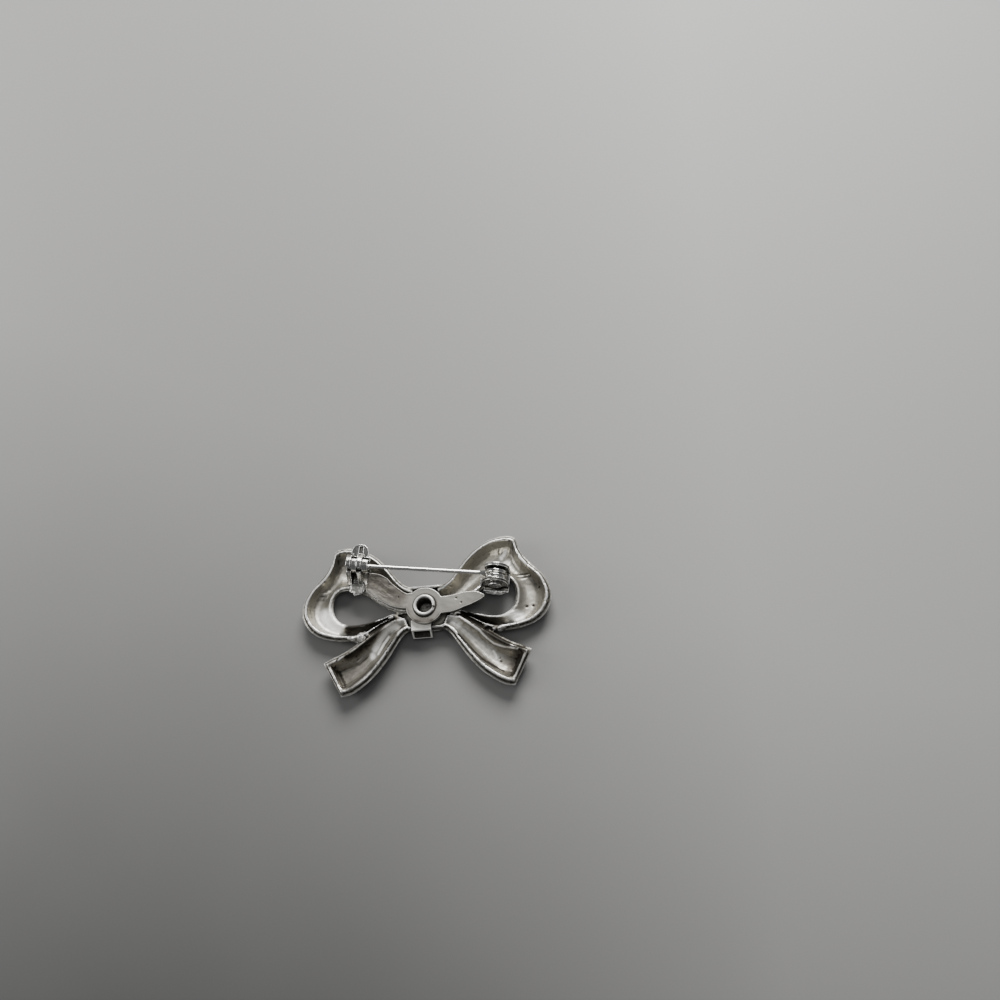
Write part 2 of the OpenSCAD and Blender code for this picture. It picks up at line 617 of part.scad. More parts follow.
module pin_stem() {
    reach = pin_run + past_catch;
    thin_from = reach - needle_l;
    taper = 0.8;
    color("gainsboro") at_hinge() difference() {
        union() {
            // knuckle with a groove round it
            translate([0, knuckle_north, 0]) rotate([90, 0, 0]) rotate_extrude($fn = fine)
                polygon([
                    [0, 0], [knuckle_r - 0.15, 0], [knuckle_r, 0.15], [knuckle_r, knuckle_w * 0.38],
                    [knuckle_r - knuckle_groove, knuckle_w * 0.45],
                    [knuckle_r - knuckle_groove, knuckle_w * 0.55],
                    [knuckle_r, knuckle_w * 0.62], [knuckle_r, knuckle_w - 0.15],
                    [knuckle_r - 0.15, knuckle_w], [0, knuckle_w]]);
            rotate([0, -90, 0]) {
                translate([0, -wire_r / 2, 0]) cylinder(r = wire_r, h = thin_from, $fn = fine);
                translate([0, -wire_r / 2, knuckle_r - 0.25])
                    cylinder(r1 = root_w / 2, r2 = wire_r, h = root_l, $fn = fine);
                translate([0, -wire_r / 2, thin_from])
                    cylinder(r1 = wire_r, r2 = needle_r, h = taper, $fn = fine);
                translate([0, -wire_r / 2, thin_from + taper])
                    cylinder(r = needle_r, h = needle_l - taper - point_l, $fn = fine);
                translate([0, -wire_r / 2, reach - point_l])
                    cylinder(r1 = needle_r, r2 = needle_r / 4, h = point_l, $fn = fine);
            }
        }
        facing(-9, 9) circle(r = rivet_r + running_gap, $fn = fine);
    }
}

bow();
knot();
hub_plate();
eyelet();
box_tube();
catch_frame();
catch_rotor();
hinge_bracket();
hinge_rivet();
pin_stem();
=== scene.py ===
"""A bow brooch lying on its front, seen from its hollow back. Metres, +Z up, in the frame's own axes."""

import math

import bmesh
import bpy
import numpy as np
from mathutils import Matrix, Vector, noise
from mathutils.bvhtree import BVHTree


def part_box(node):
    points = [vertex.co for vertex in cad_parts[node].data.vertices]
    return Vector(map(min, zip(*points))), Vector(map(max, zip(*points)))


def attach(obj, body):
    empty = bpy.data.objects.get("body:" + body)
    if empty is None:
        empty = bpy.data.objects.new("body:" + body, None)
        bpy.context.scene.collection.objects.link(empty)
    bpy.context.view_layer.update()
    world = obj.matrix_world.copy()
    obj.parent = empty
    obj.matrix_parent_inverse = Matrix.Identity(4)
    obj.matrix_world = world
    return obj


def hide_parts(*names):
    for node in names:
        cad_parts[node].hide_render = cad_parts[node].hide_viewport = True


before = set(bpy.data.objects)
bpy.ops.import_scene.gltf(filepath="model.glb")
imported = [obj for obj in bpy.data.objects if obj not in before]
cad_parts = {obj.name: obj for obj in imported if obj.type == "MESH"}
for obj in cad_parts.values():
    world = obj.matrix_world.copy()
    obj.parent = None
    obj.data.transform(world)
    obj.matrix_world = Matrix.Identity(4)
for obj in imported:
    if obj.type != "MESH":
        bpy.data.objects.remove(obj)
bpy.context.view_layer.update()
MM = 0.001
ROOT = "brooch"

# ---------------------------------------------------------------- cast bow
# The bow is one casting in silver alloy: two loops and two tails, hollow at the back, with a rim and a
# thin border. The casting's skin is uneven, with pits and ripples, and its rims are worn round and bright.
HUB = (Vector(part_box("eyelet")[0]) + Vector(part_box("eyelet")[1])) / 2 / MM
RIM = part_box("bow")[1].z / MM
# Each pit's place in mm from the hub's middle, and how wide it is.
PITS = [(17.8, -0.7, 0.4), (18.9, -0.6, 0.34), (20.1, 2.6, 0.24), (12.6, -9.6, 0.24), (-18.2, 6.3, 0.24)]
PIT_DEPTH = 0.22


def skin_of(node, name, grain, rounds):
    """A copy of a CAD node as an even skin with its corners worn round. Grain is the size of its faces
    in mm, and rounds is how often the corners are smoothed."""
    shape = bmesh.new()
    shape.from_mesh(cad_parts[node].data)
    bmesh.ops.remove_doubles(shape, verts=shape.verts, dist=0.002 * MM)
    bmesh.ops.scale(shape, vec=(1 / MM,) * 3, verts=shape.verts)
    return even_skin(shape, name, grain, rounds)


def even_skin(shape, name, grain, rounds):
    """Turns a shape in mm into one even, smooth-shaded skin, and returns its object, still in mm."""
    mesh = bpy.data.meshes.new(name)
    shape.to_mesh(mesh)
    shape.free()
    piece = bpy.data.objects.new(name, mesh)
    bpy.context.scene.collection.objects.link(piece)
    even = piece.modifiers.new("even skin", "REMESH")
    even.mode, even.voxel_size, even.adaptivity = "VOXEL", grain, 0
    worn = piece.modifiers.new("worn corners", "SMOOTH")
    worn.factor, worn.iterations = 0.5, rounds
    done = bpy.data.meshes.new_from_object(piece.evaluated_get(bpy.context.evaluated_depsgraph_get()))
    piece.modifiers.clear()
    piece.data = done
    done.name = name
    done.polygons.foreach_set("use_smooth", [True] * len(done.polygons))
    return piece


def work_surface(piece, height):
    """Moves each point of a piece in mm along its normal by height(place, normal), but not below the
    ground. All in mm."""
    mesh = piece.data
    moved = np.array([v.co + v.normal * height(v.co, v.normal) for v in mesh.vertices], dtype=np.float32)
    moved[:, 2] = np.maximum(moved[:, 2], 0)
    mesh.vertices.foreach_set("co", moved.ravel())
    mesh.update()


def settle(piece, body, slot, *nodes):
    """Brings a piece from mm to metres and puts it in the frame."""
    piece.data.transform(Matrix.Scale(MM, 4))
    if nodes:
        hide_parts(*nodes)
    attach(piece, body)
    return piece


def ripple(place, size, seed=0.0):
    """Smooth noise from -1 to 1, with bumps of about the given size in mm."""
    return noise.noise(place / size + Vector((seed, seed * 1.7, seed * 0.6)))


def near_line(x, y, a, b):
    """Distance from a place to the line from a to b, all in mm in plan."""
    ax, ay, bx, by = *a, *b
    t = max(0, min(1, ((x - ax) * (bx - ax) + (y - ay) * (by - ay)) / ((bx - ax) ** 2 + (by - ay) ** 2)))
    return math.hypot(x - ax - t * (bx - ax), y - ay - t * (by - ay))


# Creases across the loops: their two ends in mm from the hub's middle, and rise. A groove runs along each.
CREASES = [((15.6, 5.15), (18.4, 4.95), 0.08), ((-15.8, 4.2), (-19.6, 4.4), 0.02)]
CREASE_WIDE, GROOVE_OFF = 0.13, 0.3
# Crinkles above the hinge and in the right loop's lower part: place, how wide, and which way they run.
CRINKLES = [(13.9, 9.2, 0.9, 1.1), (14.5, 7.9, 0.8, 0.9), (15.3, -2.0, 1.5, 0.3)]
CRINKLE_RISE = 0.2
# Folds and grooves along the tails: points in mm from the hub's middle, rise, and half width. They lie
# below TAILS_FROM.
TAILS_FROM = -1.5
FOLDS = [
    ([(6.0, -2.2), (7.5, -3.4), (9.4, -4.9), (10.6, -6.2), (11.75, -7.2), (13.4, -8.0), (15.9, -8.8)],
     0.2, 0.16),
    ([(-5.6, -2.0), (-8.0, -3.9), (-9.1, -5.3), (-10.8, -7.2), (-12.4, -8.5), (-15.3, -9.4)], 0.13, 0.3),
    ([(5.8, -5.4), (8.2, -8.3), (9.7, -9.8), (11.6, -11.0), (13.2, -12.0)], -0.22, 0.22),
    ([(-6.9, -4.6), (-7.8, -5.7), (-8.8, -7.3)], 0.1, 0.25)]


def bow_skin(place, normal):
    """Casting ripples, creases, folds, crinkles, nicks and pits of the bow. Back is how far a face looks
    up, low is 1 down in the troughs and 0 on the rims."""
    x, y = place.x - HUB.x, place.y - HUB.y
    back = max(0, normal.z)
    low = max(0, min(1, (RIM - 0.5 - place.z) / 1.2))
    high = 1 - low
    lift = 0.03 * ripple(place, 1.6, 3) + 0.012 * ripple(place, 0.6, 5)
    lift += 0.06 * low * back * ripple(place, 2.6, 9)
    # rims and border are dented all along, with small nicks
    lift += high * (0.04 * ripple(place, 0.9, 15) - 0.16 * max(0, ripple(place, 0.6, 19) - 0.25))
    for a, b, rise in CREASES:
        gap = near_line(x, y, a, b)
        crest = math.exp(-(gap / CREASE_WIDE) ** 2)
        groove = math.exp(-((gap - GROOVE_OFF) / CREASE_WIDE) ** 2)
        lift += back * low * rise * (crest - 0.8 * groove)
    if y < TAILS_FROM:
        for line, rise, wide in FOLDS:
            gap = min(near_line(x, y, a, b) for a, b in zip(line, line[1:]))
            lift += back * rise * math.exp(-(gap / wide) ** 2)
    for px, py, wide, lean in CRINKLES:
        near = math.exp(-(math.hypot(x - px, y - py) / wide) ** 2)
        if near > 0.05:
            along = x * math.cos(lean) + y * math.sin(lean)
            across = y * math.cos(lean) - x * math.sin(lean)
            lift += back * near * CRINKLE_RISE * ripple(Vector((along * 0.5, across * 1.6, 0)), 0.5, 61)
    for px, py, wide in PITS:
        gap = math.hypot(x - px, y - py)
        lift -= back * low * PIT_DEPTH * math.exp(-(gap / (wide * 0.5)) ** 2)
    return lift


bow = skin_of("bow", "cast_bow", grain=0.168, rounds=2)
work_surface(bow, bow_skin)
settle(bow, ROOT, "bow", "bow")

# ---------------------------------------------------------------- knot
# The knot is the plain crowned pad in the middle of the front, cast in the same silver as the bow and
# soldered under its waist. Its face is smooth, with the casting's faint dents.
knot = skin_of("knot", "front_knot", grain=0.12, rounds=3)
work_surface(knot, lambda place, normal: 0.02 * ripple(place, 1.2, 11))
settle(knot, ROOT, "knot", "knot")

# ---------------------------------------------------------------- hub plate
# The hub plate is sheet silver, cut with two arms and soldered over the waist. The left arm is rough
# with spilt solder, the right arm is smooth with a few pits. The arm's own direction is ARM_X, ARM_Y.
ARM_PITS = [(5.65, 0.95, 0.17), (6.5, 0.1, 0.13), (4.9, 1.7, 0.1), (-4.6, 1.9, 0.12)]
ARM_PIT_DEPTH = 0.1
# The lip of the eyelet has worn a ring into the plate: its radius, depth and half width.
RING = (2.05, 0.05, 0.12)
ARM_X, ARM_Y = 0.87, -0.5


def plate_skin(place, normal):
    """Drawn-out crinkles of spilt solder on the left arm, faint dents elsewhere."""
    x, y = place.x - HUB.x, place.y - HUB.y
    up = max(0, normal.z)
    spill = up * max(0, min(1, (-x - 4.2) / 2.0)) * max(0, min(1, (y - 0.5) / 2))
    lift = 0.012 * ripple(place, 0.8, 2) + up * 0.02 * ripple(place, 2.2, 4)
    along, across = ARM_X * x + ARM_Y * y, -ARM_Y * x + ARM_X * y
    lift += spill * (0.06 * ripple(Vector((along * 0.25, across, 0)), 0.6, 6) - 0.02)
    lift += spill * 0.025 * ripple(Vector((along * 0.3, across * 1.1, 0)), 0.24, 7)
    for px, py, wide in ARM_PITS:
        lift -= up * ARM_PIT_DEPTH * math.exp(-(math.hypot(x - px, y - py) / wide) ** 2)
    radius, depth, wide = RING
    lift -= up * depth * math.exp(-((math.hypot(x, y) - radius) / wide) ** 2)
    return lift


plate = skin_of("hub_plate", "back_plate", grain=0.09, rounds=3)
work_surface(plate, plate_skin)
settle(plate, ROOT, "hub_plate", "hub_plate")

# ---------------------------------------------------------------- eyelet
# The eyelet is a hollow rivet of drawn silver tube that holds the plate. Its end is rolled over into a
# lip, which has one split and is rubbed bright. The bore is painted black inside as shade.
eyelet = skin_of("eyelet", "hollow_rivet", grain=0.055, rounds=2)
work_surface(eyelet, lambda place, normal: 0.015 * ripple(place, 0.7, 8))
settle(eyelet, ROOT, "eyelet", "eyelet")

# ---------------------------------------------------------------- box tube
# The box tube is folded from thin sheet silver and soldered under the plate. Its outside has a light tone
# as painted light on the top that the plate shades, and its mouth is painted dark inside as shade.
tube = skin_of("box_tube", "square_tube", grain=0.07, rounds=2)
work_surface(tube, lambda place, normal: 0.02 * ripple(place, 0.9, 14))
settle(tube, ROOT, "box_tube", "box_tube")

# ---------------------------------------------------------------- catch
# The catch is a bought finding: two C-shaped collars on a base, and a sleeve that turns in them by its
# lever. It is polished, with tarnish and painted shade in its corners.
catch = skin_of("catch_frame", "catch_collars", grain=0.06, rounds=2)
work_surface(catch, lambda place, normal: 0.012 * ripple(place, 0.6, 21))
settle(catch, ROOT, "catch_frame", "catch_frame")
sleeve = skin_of("catch_rotor", "catch_sleeve", grain=0.06, rounds=2)
work_surface(sleeve, lambda place, normal: 0.008 * ripple(place, 0.6, 23))
settle(sleeve, "catch_sleeve", "catch_rotor", "catch_rotor")

# ---------------------------------------------------------------- hinge
# The hinge is a bent bracket with two round ears, riveted through and soldered to the right loop. The
# pin's knuckle sits between the ears.
bracket = skin_of("hinge_bracket", "hinge_ears", grain=0.07, rounds=2)
work_surface(bracket, lambda place, normal: 0.012 * ripple(place, 0.6, 31))
settle(bracket, ROOT, "hinge_bracket", "hinge_bracket")
rivet = skin_of("hinge_rivet", "hinge_pin", grain=0.06, rounds=2)
work_surface(rivet, lambda place, normal: 0.02 * ripple(place, 0.5, 33))
settle(rivet, ROOT, "hinge_rivet", "hinge_rivet")

# ---------------------------------------------------------------- pin
# The pin is hard drawn wire with a long taper, fixed in a grooved knuckle that turns on the rivet. It is
# polished by the cloth that it goes through.
pin = skin_of("pin_stem", "pin_wire", grain=0.06, rounds=2)
work_surface(pin, lambda place, normal: 0.006 * ripple(place, 1.5, 41))
settle(pin, "pin", "pin_stem", "pin_stem")

# ---------------------------------------------------------------- solder
# Solder joins the findings and the ribbons: drops and fillets that ran along the seams and set bright.
# Each row is one drop: x, y from the hub's middle, height, radius, and how flat it is, in mm.
DROPS = {
    "solder_left": [
        (-11.6, -4.5, 2.45, 0.95, 0.6), (-12.4, -4.85, 2.35, 0.6, 0.6), (-11.0, -3.95, 2.5, 0.5, 0.6)],
    "solder_left_rim": [(-5.98, -1.42, 3.2, 0.36, 0.8), (-6.4, -1.5, 3.1, 0.25, 0.8)],
    "solder_right": [
        (13.0, -4.7, 2.45, 0.6, 0.7), (12.3, -4.5, 2.4, 0.42, 0.7), (13.8, -4.6, 2.4, 0.4, 0.6)],
    "solder_catch": [
        (-12.0, 4.36, 3.3, 1.15, 0.3), (-12.7, 4.7, 3.35, 0.8, 0.4), (-11.7, 3.9, 3.3, 0.75, 0.4),
        (-13.2, 4.2, 3.1, 0.5, 0.6), (-12.5, 3.5, 3.1, 0.5, 0.6), (-11.2, 5.0, 3.3, 0.6, 0.4)],
    "solder_hinge": [
        (11.2, 2.25, 3.0, 0.65, 0.35), (11.7, 2.1, 3.02, 0.6, 0.35), (12.2, 1.95, 3.05, 0.65, 0.35),
        (12.8, 1.85, 3.05, 0.6, 0.35), (13.3, 1.8, 3.05, 0.65, 0.35), (13.9, 1.85, 3.0, 0.5, 0.35)],
}


def drops(name, rows):
    """One lump of solder, melted together from round drops."""
    shape = bmesh.new()
    for x, y, z, radius, flat in rows:
        spot = Matrix.Translation((x + HUB.x, y + HUB.y, z)) @ Matrix.Diagonal((1, 1, flat, 1))
        bmesh.ops.create_icosphere(shape, subdivisions=3, radius=radius, matrix=spot)
    lump = even_skin(shape, name, grain=0.08, rounds=16)
    work_surface(
        lump, lambda place, normal: 0.04 * ripple(place, 0.5, 51) + 0.012 * ripple(place, 0.25, 53))
    return settle(lump, ROOT, "bow")


lumps = [drops(name, rows) for name, rows in DROPS.items()]

# ---------------------------------------------------------------- silver finishes
# Old silver: bright and smooth where it is rubbed, grey and soft in the open, black in the corners with
# tarnish and painted shade. What the shape decides is measured once and kept on each piece as the
# attributes "hollow", "ridge", "beside" and "steep". Two more are painted: frosted metal with painted
# highlights, and tarnish with painted shade. The finishes read all six.
PIECES = [bow, knot, plate, eyelet, tube, catch, sleeve, bracket, rivet, pin, *lumps]
# Rays that look for near walls from each point, and how far tarnish and painted shade reach from a wall.
LOOKS = 10
TARNISH_AND_SHADE_REACH = 2.6 * MM
# a long reach paints the eyelet's deep bore black inside as shade
REACH_OF_TARNISH_AND_SHADE = {eyelet: 9 * MM, tube: 4.5 * MM, pin: 0.5 * MM}


def keep(mesh, name, values):
    """Keeps one number for each point of a mesh."""
    mesh.attributes.new(name, "FLOAT", "POINT").data.foreach_set("value", values.astype(np.float32))


def measure_bends(piece):
    """Writes "ridge", from 0 in a corner over 0.5 on a flat to 1 on an edge, "beside", 1 just off an
    edge, and "steep", 0 on a flat that faces up and 1 on an upright wall."""
    mesh = piece.data
    count = len(mesh.vertices)
    places, normals = np.empty(count * 3), np.empty(count * 3)
    ends = np.empty(len(mesh.edges) * 2, dtype=int)
    mesh.vertices.foreach_get("co", places)
    mesh.vertex_normals.foreach_get("vector", normals)
    mesh.edges.foreach_get("vertices", ends)
    places, normals, (a, b) = places.reshape(-1, 3) / MM, normals.reshape(-1, 3), ends.reshape(-1, 2).T
    step = places[b] - places[a]
    long = np.maximum((step * step).sum(1), 1e-6)
    near = np.bincount(a, minlength=count) + np.bincount(b, minlength=count)
    bend = np.bincount(a, -(normals[a] * step).sum(1) / long, count)
    bend += np.bincount(b, (normals[b] * step).sum(1) / long, count)
    bend /= np.maximum(near, 1)

    def spread(values, rounds):
        """Evens values out over the points next to each point."""
        for _ in range(rounds):
            around = np.bincount(a, values[b], count) + np.bincount(b, values[a], count)
            values = 0.4 * values + 0.6 * around / np.maximum(near, 1)
        return values

    bend = spread(bend, 2)
    edge = np.clip(0.3 * bend, 0, 0.5)
    # enough rounds to carry a value about 0.2 mm from an edge
    rounds = int(min(14, 0.035 / (0.3 * np.median(long))))
    keep(mesh, "ridge", np.clip(0.5 + 0.3 * bend, 0, 1))
    keep(mesh, "beside", np.clip(8 * spread(edge, rounds) - 5 * edge - 0.15, 0, 1))
    keep(mesh, "steep", np.clip(1 - normals[:, 2], 0, 1))


def measure_hollows():
    """Writes each point's share of near walls in view as the attribute "hollow", from 0 to 1."""
    points, faces, start = [], [], 0
    for piece in PIECES:
        mesh = piece.data
        points += [v.co for v in mesh.vertices]
        faces += [[start + i for i in p.vertices] for p in mesh.polygons]
        start += len(mesh.vertices)
    walls = BVHTree.FromPolygons(points, faces)
    cone = []
    for i in range(LOOKS):
        turn, lean = i * math.pi * (3 - math.sqrt(5)), math.sqrt((i + 0.5) / LOOKS)
        cone.append(Vector((math.cos(turn) * lean, math.sin(turn) * lean, math.sqrt(1 - lean * lean))))
    for piece in PIECES:
        mesh = piece.data
        found = np.zeros(len(mesh.vertices))
        reach = REACH_OF_TARNISH_AND_SHADE.get(piece, TARNISH_AND_SHADE_REACH)
        for i, v in enumerate(mesh.vertices):
            turn = v.normal.to_track_quat("Z", "Y")
            from_here = v.co + v.normal * 0.02 * MM
            seen = 0.0
            for ray in cone:
                gap = walls.ray_cast(from_here, turn @ ray, reach)[3]
                if gap is not None:
                    seen += 1 - gap / reach
            found[i] = seen / LOOKS
        keep(mesh, "hollow", found)


def paint(piece, name, strokes, level=0.1, below=99):
    """Keeps painted marks on a piece's faces that look up by more than level, below a height in mm. Each
    stroke is a line of points in mm from the hub's middle, half its width in mm, and how strong it is."""
    mesh = piece.data
    places, normals = np.empty(len(mesh.vertices) * 3), np.empty(len(mesh.vertices) * 3)
    mesh.vertices.foreach_get("co", places)
    mesh.vertex_normals.foreach_get("vector", normals)
    x, y = places[0::3] / MM - HUB.x, places[1::3] / MM - HUB.y
    mark = np.zeros(len(x))
    for line, wide, strong in strokes:
        for (ax, ay), (bx, by) in zip(line, line[1:]):
            long = (bx - ax) ** 2 + (by - ay) ** 2
            t = np.clip(((x - ax) * (bx - ax) + (y - ay) * (by - ay)) / long, 0, 1)
            gap = np.hypot(x - ax - t * (bx - ax), y - ay - t * (by - ay))
            mark = np.maximum(mark, strong * np.exp(-((gap / wide) ** 2.4)))
    keep(mesh, name, mark * (normals[2::3] > level) * (places[2::3] < below * MM))


# Frosted metal with painted highlights where the lamp glints on the loops and on the tails' folds and
# bulges. Tarnish with painted shade: tarnish in the pits, and painted shade in the tails' channels, on
# their shaded walls and over sheens that are too strong.
BOW_FROST_AND_HIGHLIGHT = [
    ([(-18.2, 0.2), (-17.4, -1.2), (-15.8, -2.5)], 1.3, 1.0), ([(14.5, -2.1), (16.3, -2.5)], 1.0, 1.0),
    ([(13.6, 8.9), (14.4, 9.9)], 0.35, 1.0), ([(14.2, 7.9), (14.9, 7.9)], 0.35, 1.0),
    ([(-3.9, -1.7), (-4.7, -2.3)], 0.5, 0.6), ([(-5.4, -2.8), (-6.9, -3.3)], 0.6, 1.0),
    ([(-6.9, -3.3), (-8.4, -4.9), (-9.5, -6.6)], 0.55, 0.9), ([(-9.9, -7.5), (-9.9, -7.7)], 0.55, 0.9),
    ([(-6.9, -4.6), (-7.8, -5.7), (-8.8, -7.3)], 0.22, 0.8), ([(-11.6, -9.4), (-12.6, -10.6)], 0.9, 0.1),
    ([(4.6, -2.5), (5.6, -3.3)], 0.85, 0.6), ([(5.6, -3.3), (7.9, -5.2), (10.6, -7.9)], 0.95, 0.3),
    ([(10.6, -7.9), (12.2, -9.6)], 1.3, 0.2), ([(11.5, -8.3), (11.9, -9.0), (12.0, -9.6)], 0.22, 0.8),
    ([(6.0, -2.2), (7.5, -3.4), (9.4, -4.9), (10.6, -6.2)], 0.16, 1.0),
    ([(10.6, -6.2), (11.75, -7.2), (13.4, -8.0), (15.9, -8.8)], 0.14, 0.8)]
BOW_STAIN_AND_SHADE = [
    ([(-5.4, -1.7), (-7.8, -3.2), (-9.3, -4.8), (-10.8, -6.0), (-12.7, -7.4), (-14.1, -8.0)], 0.5, 0.8),
    ([(-9.4, -9.6), (-13.6, -13.3)], 0.55, 0.55), ([(-5.4, -4.9), (-9.4, -9.6)], 0.4, 0.5),
    ([(-16.8, -8.9), (-14.8, -12.9)], 0.7, 0.3), ([(-12.2, -9.4), (-14.2, -11.0)], 1.9, 0.27),
    ([(-14.2, -2.6), (-9.4, -1.7)], 0.55, 0.85), ([(7.7, -1.8), (10.9, -3.3), (12.2, -4.0)], 0.5, 0.7),
    ([(6.6, -2.0), (10.0, -4.4), (12.2, -6.3), (14.3, -7.7)], 0.6, 0.8),
    ([(5.8, -5.4), (8.2, -8.3), (9.7, -9.8)], 0.2, 0.8), ([(9.7, -9.8), (11.8, -11.2)], 0.45, 0.75),
    ([(17.0, -8.2), (15.2, -12.6)], 0.5, 0.7), ([(16.3, -8.7), (14.6, -12.3)], 1.25, 0.62),
    ([(12.7, -10.1), (12.8, -10.2)], 0.18, 1.0),
    ([(17.8, -0.7), (17.9, -0.7)], 0.2, 1.0), ([(18.9, -0.6), (19.0, -0.6)], 0.17, 1.0),
    ([(20.1, 2.6), (20.2, 2.6)], 0.12, 1.0), ([(18.8, 2.5), (17.8, -2.0)], 2.0, 0.12)]
# On the plate: painted shade in the groove round the eyelet, a darker band along its lower edge, a brown
# stain on the rough left arm and dark pits on the right arm.
PLATE_STAIN_AND_SHADE = [
    ([(-3.4, -0.6), (-2.2, -2.8), (0.0, -3.7), (2.6, -2.7)], 1.1, 0.22),
    ([(2.02 * math.cos(i * 0.3), 2.02 * math.sin(i * 0.3)) for i in range(22)], 0.13, 0.9),
    ([(-1.6, -2.7), (1.2, -2.8)], 0.5, 0.5), ([(-8.9, 5.0), (-4.6, 1.9)], 1.7, 0.6),
    ([(5.65, 0.95), (5.7, 0.95)], 0.16, 1.0), ([(6.5, 0.1), (6.55, 0.1)], 0.13, 1.0),
    ([(4.9, 1.7), (4.95, 1.7)], 0.1, 0.8)]
for piece in PIECES:
    measure_bends(piece)
paint(bow, "frost_and_highlight", BOW_FROST_AND_HIGHLIGHT)
paint(bow, "stain_and_shade", BOW_STAIN_AND_SHADE)
paint(plate, "stain_and_shade", PLATE_STAIN_AND_SHADE)
# the bracket's near ear darkened on all its faces, and painted shade inside the tube's mouth on the faces
# that look up, but not on its top
paint(bracket, "stain_and_shade", [([(11.3, 3.3), (13.9, 2.9)], 1.1, 0.2)], level=-2)
paint(tube, "stain_and_shade", [([(-0.8, -2.0), (-0.8, -6.0)], 4.0, 0.85)], level=0.8, below=2.9)
measure_hollows()


class Wire:
    """A value on its way through a material. Sums and products with it add Math nodes."""

    def __init__(self, finish, socket):
        self.finish, self.socket = finish, socket

    def maths(self, operation, *values):
        """The result of one Math node."""
        return self.finish.add("ShaderNodeMath", {"operation": operation}, dict(enumerate(values)))

    def __add__(self, other):
        return self.maths("ADD", self, other)

    def __sub__(self, other):
        return self.maths("SUBTRACT", self, other)

    def __rsub__(self, other):
        return self.maths("SUBTRACT", other, self)

    def __mul__(self, other):
        return self.maths("MULTIPLY", self, other)

    __radd__, __rmul__ = __add__, __mul__

    def clipped(self):
        """The value kept from 0 to 1."""
        return self.finish.add("ShaderNodeClamp", {}, {"Value": self})


class Finish:
    """A material that is put together node by node."""

    def __init__(self, name):
        self.material = bpy.data.materials.new(name)
        self.material.use_nodes = True
        self.tree = self.material.node_tree
        self.tree.nodes.clear()

    def add(self, kind, settings, sockets, out=0):
        """Adds a node: its settings first, then its sockets' values or links. Returns an output."""
        node = self.tree.nodes.new(kind)
        for name, value in settings.items():
            setattr(node, name, value)
        for name, value in sockets.items():
            if isinstance(value, Wire):
                self.tree.links.new(value.socket, node.inputs[name])
            else:
                node.inputs[name].default_value = value
        return None if out is None else Wire(self, node.outputs[out])

    def spots(self, place, scale, detail=3.0, rough=0.55):
        """Noise from 0 to 1, with spots of about 1 / scale in metres."""
        sockets = {"Vector": place, "Scale": scale, "Detail": detail, "Roughness": rough}
        return self.add("ShaderNodeTexNoise", {}, sockets)

    def range(self, value, low, high, to_low=0.0, to_high=1.0):
        """A value carried from low..high over to to_low..to_high, and kept between them."""
        sockets = {"Value": value, "From Min": low, "From Max": high, "To Min": to_low, "To Max": to_high}
        return self.add("ShaderNodeMapRange", {}, sockets)

    def blend(self, share, first, second):
        """A colour between two colours."""
        settings = {"data_type": "RGBA"}
        return self.add("ShaderNodeMix", settings, {"Factor": share, "A": first, "B": second}, "Result")


BLACK_TARNISH_AND_SHADE, BROWN_STAIN_AND_SHADE = (0.026, 0.023, 0.018, 1), (0.15, 0.12, 0.095, 1)


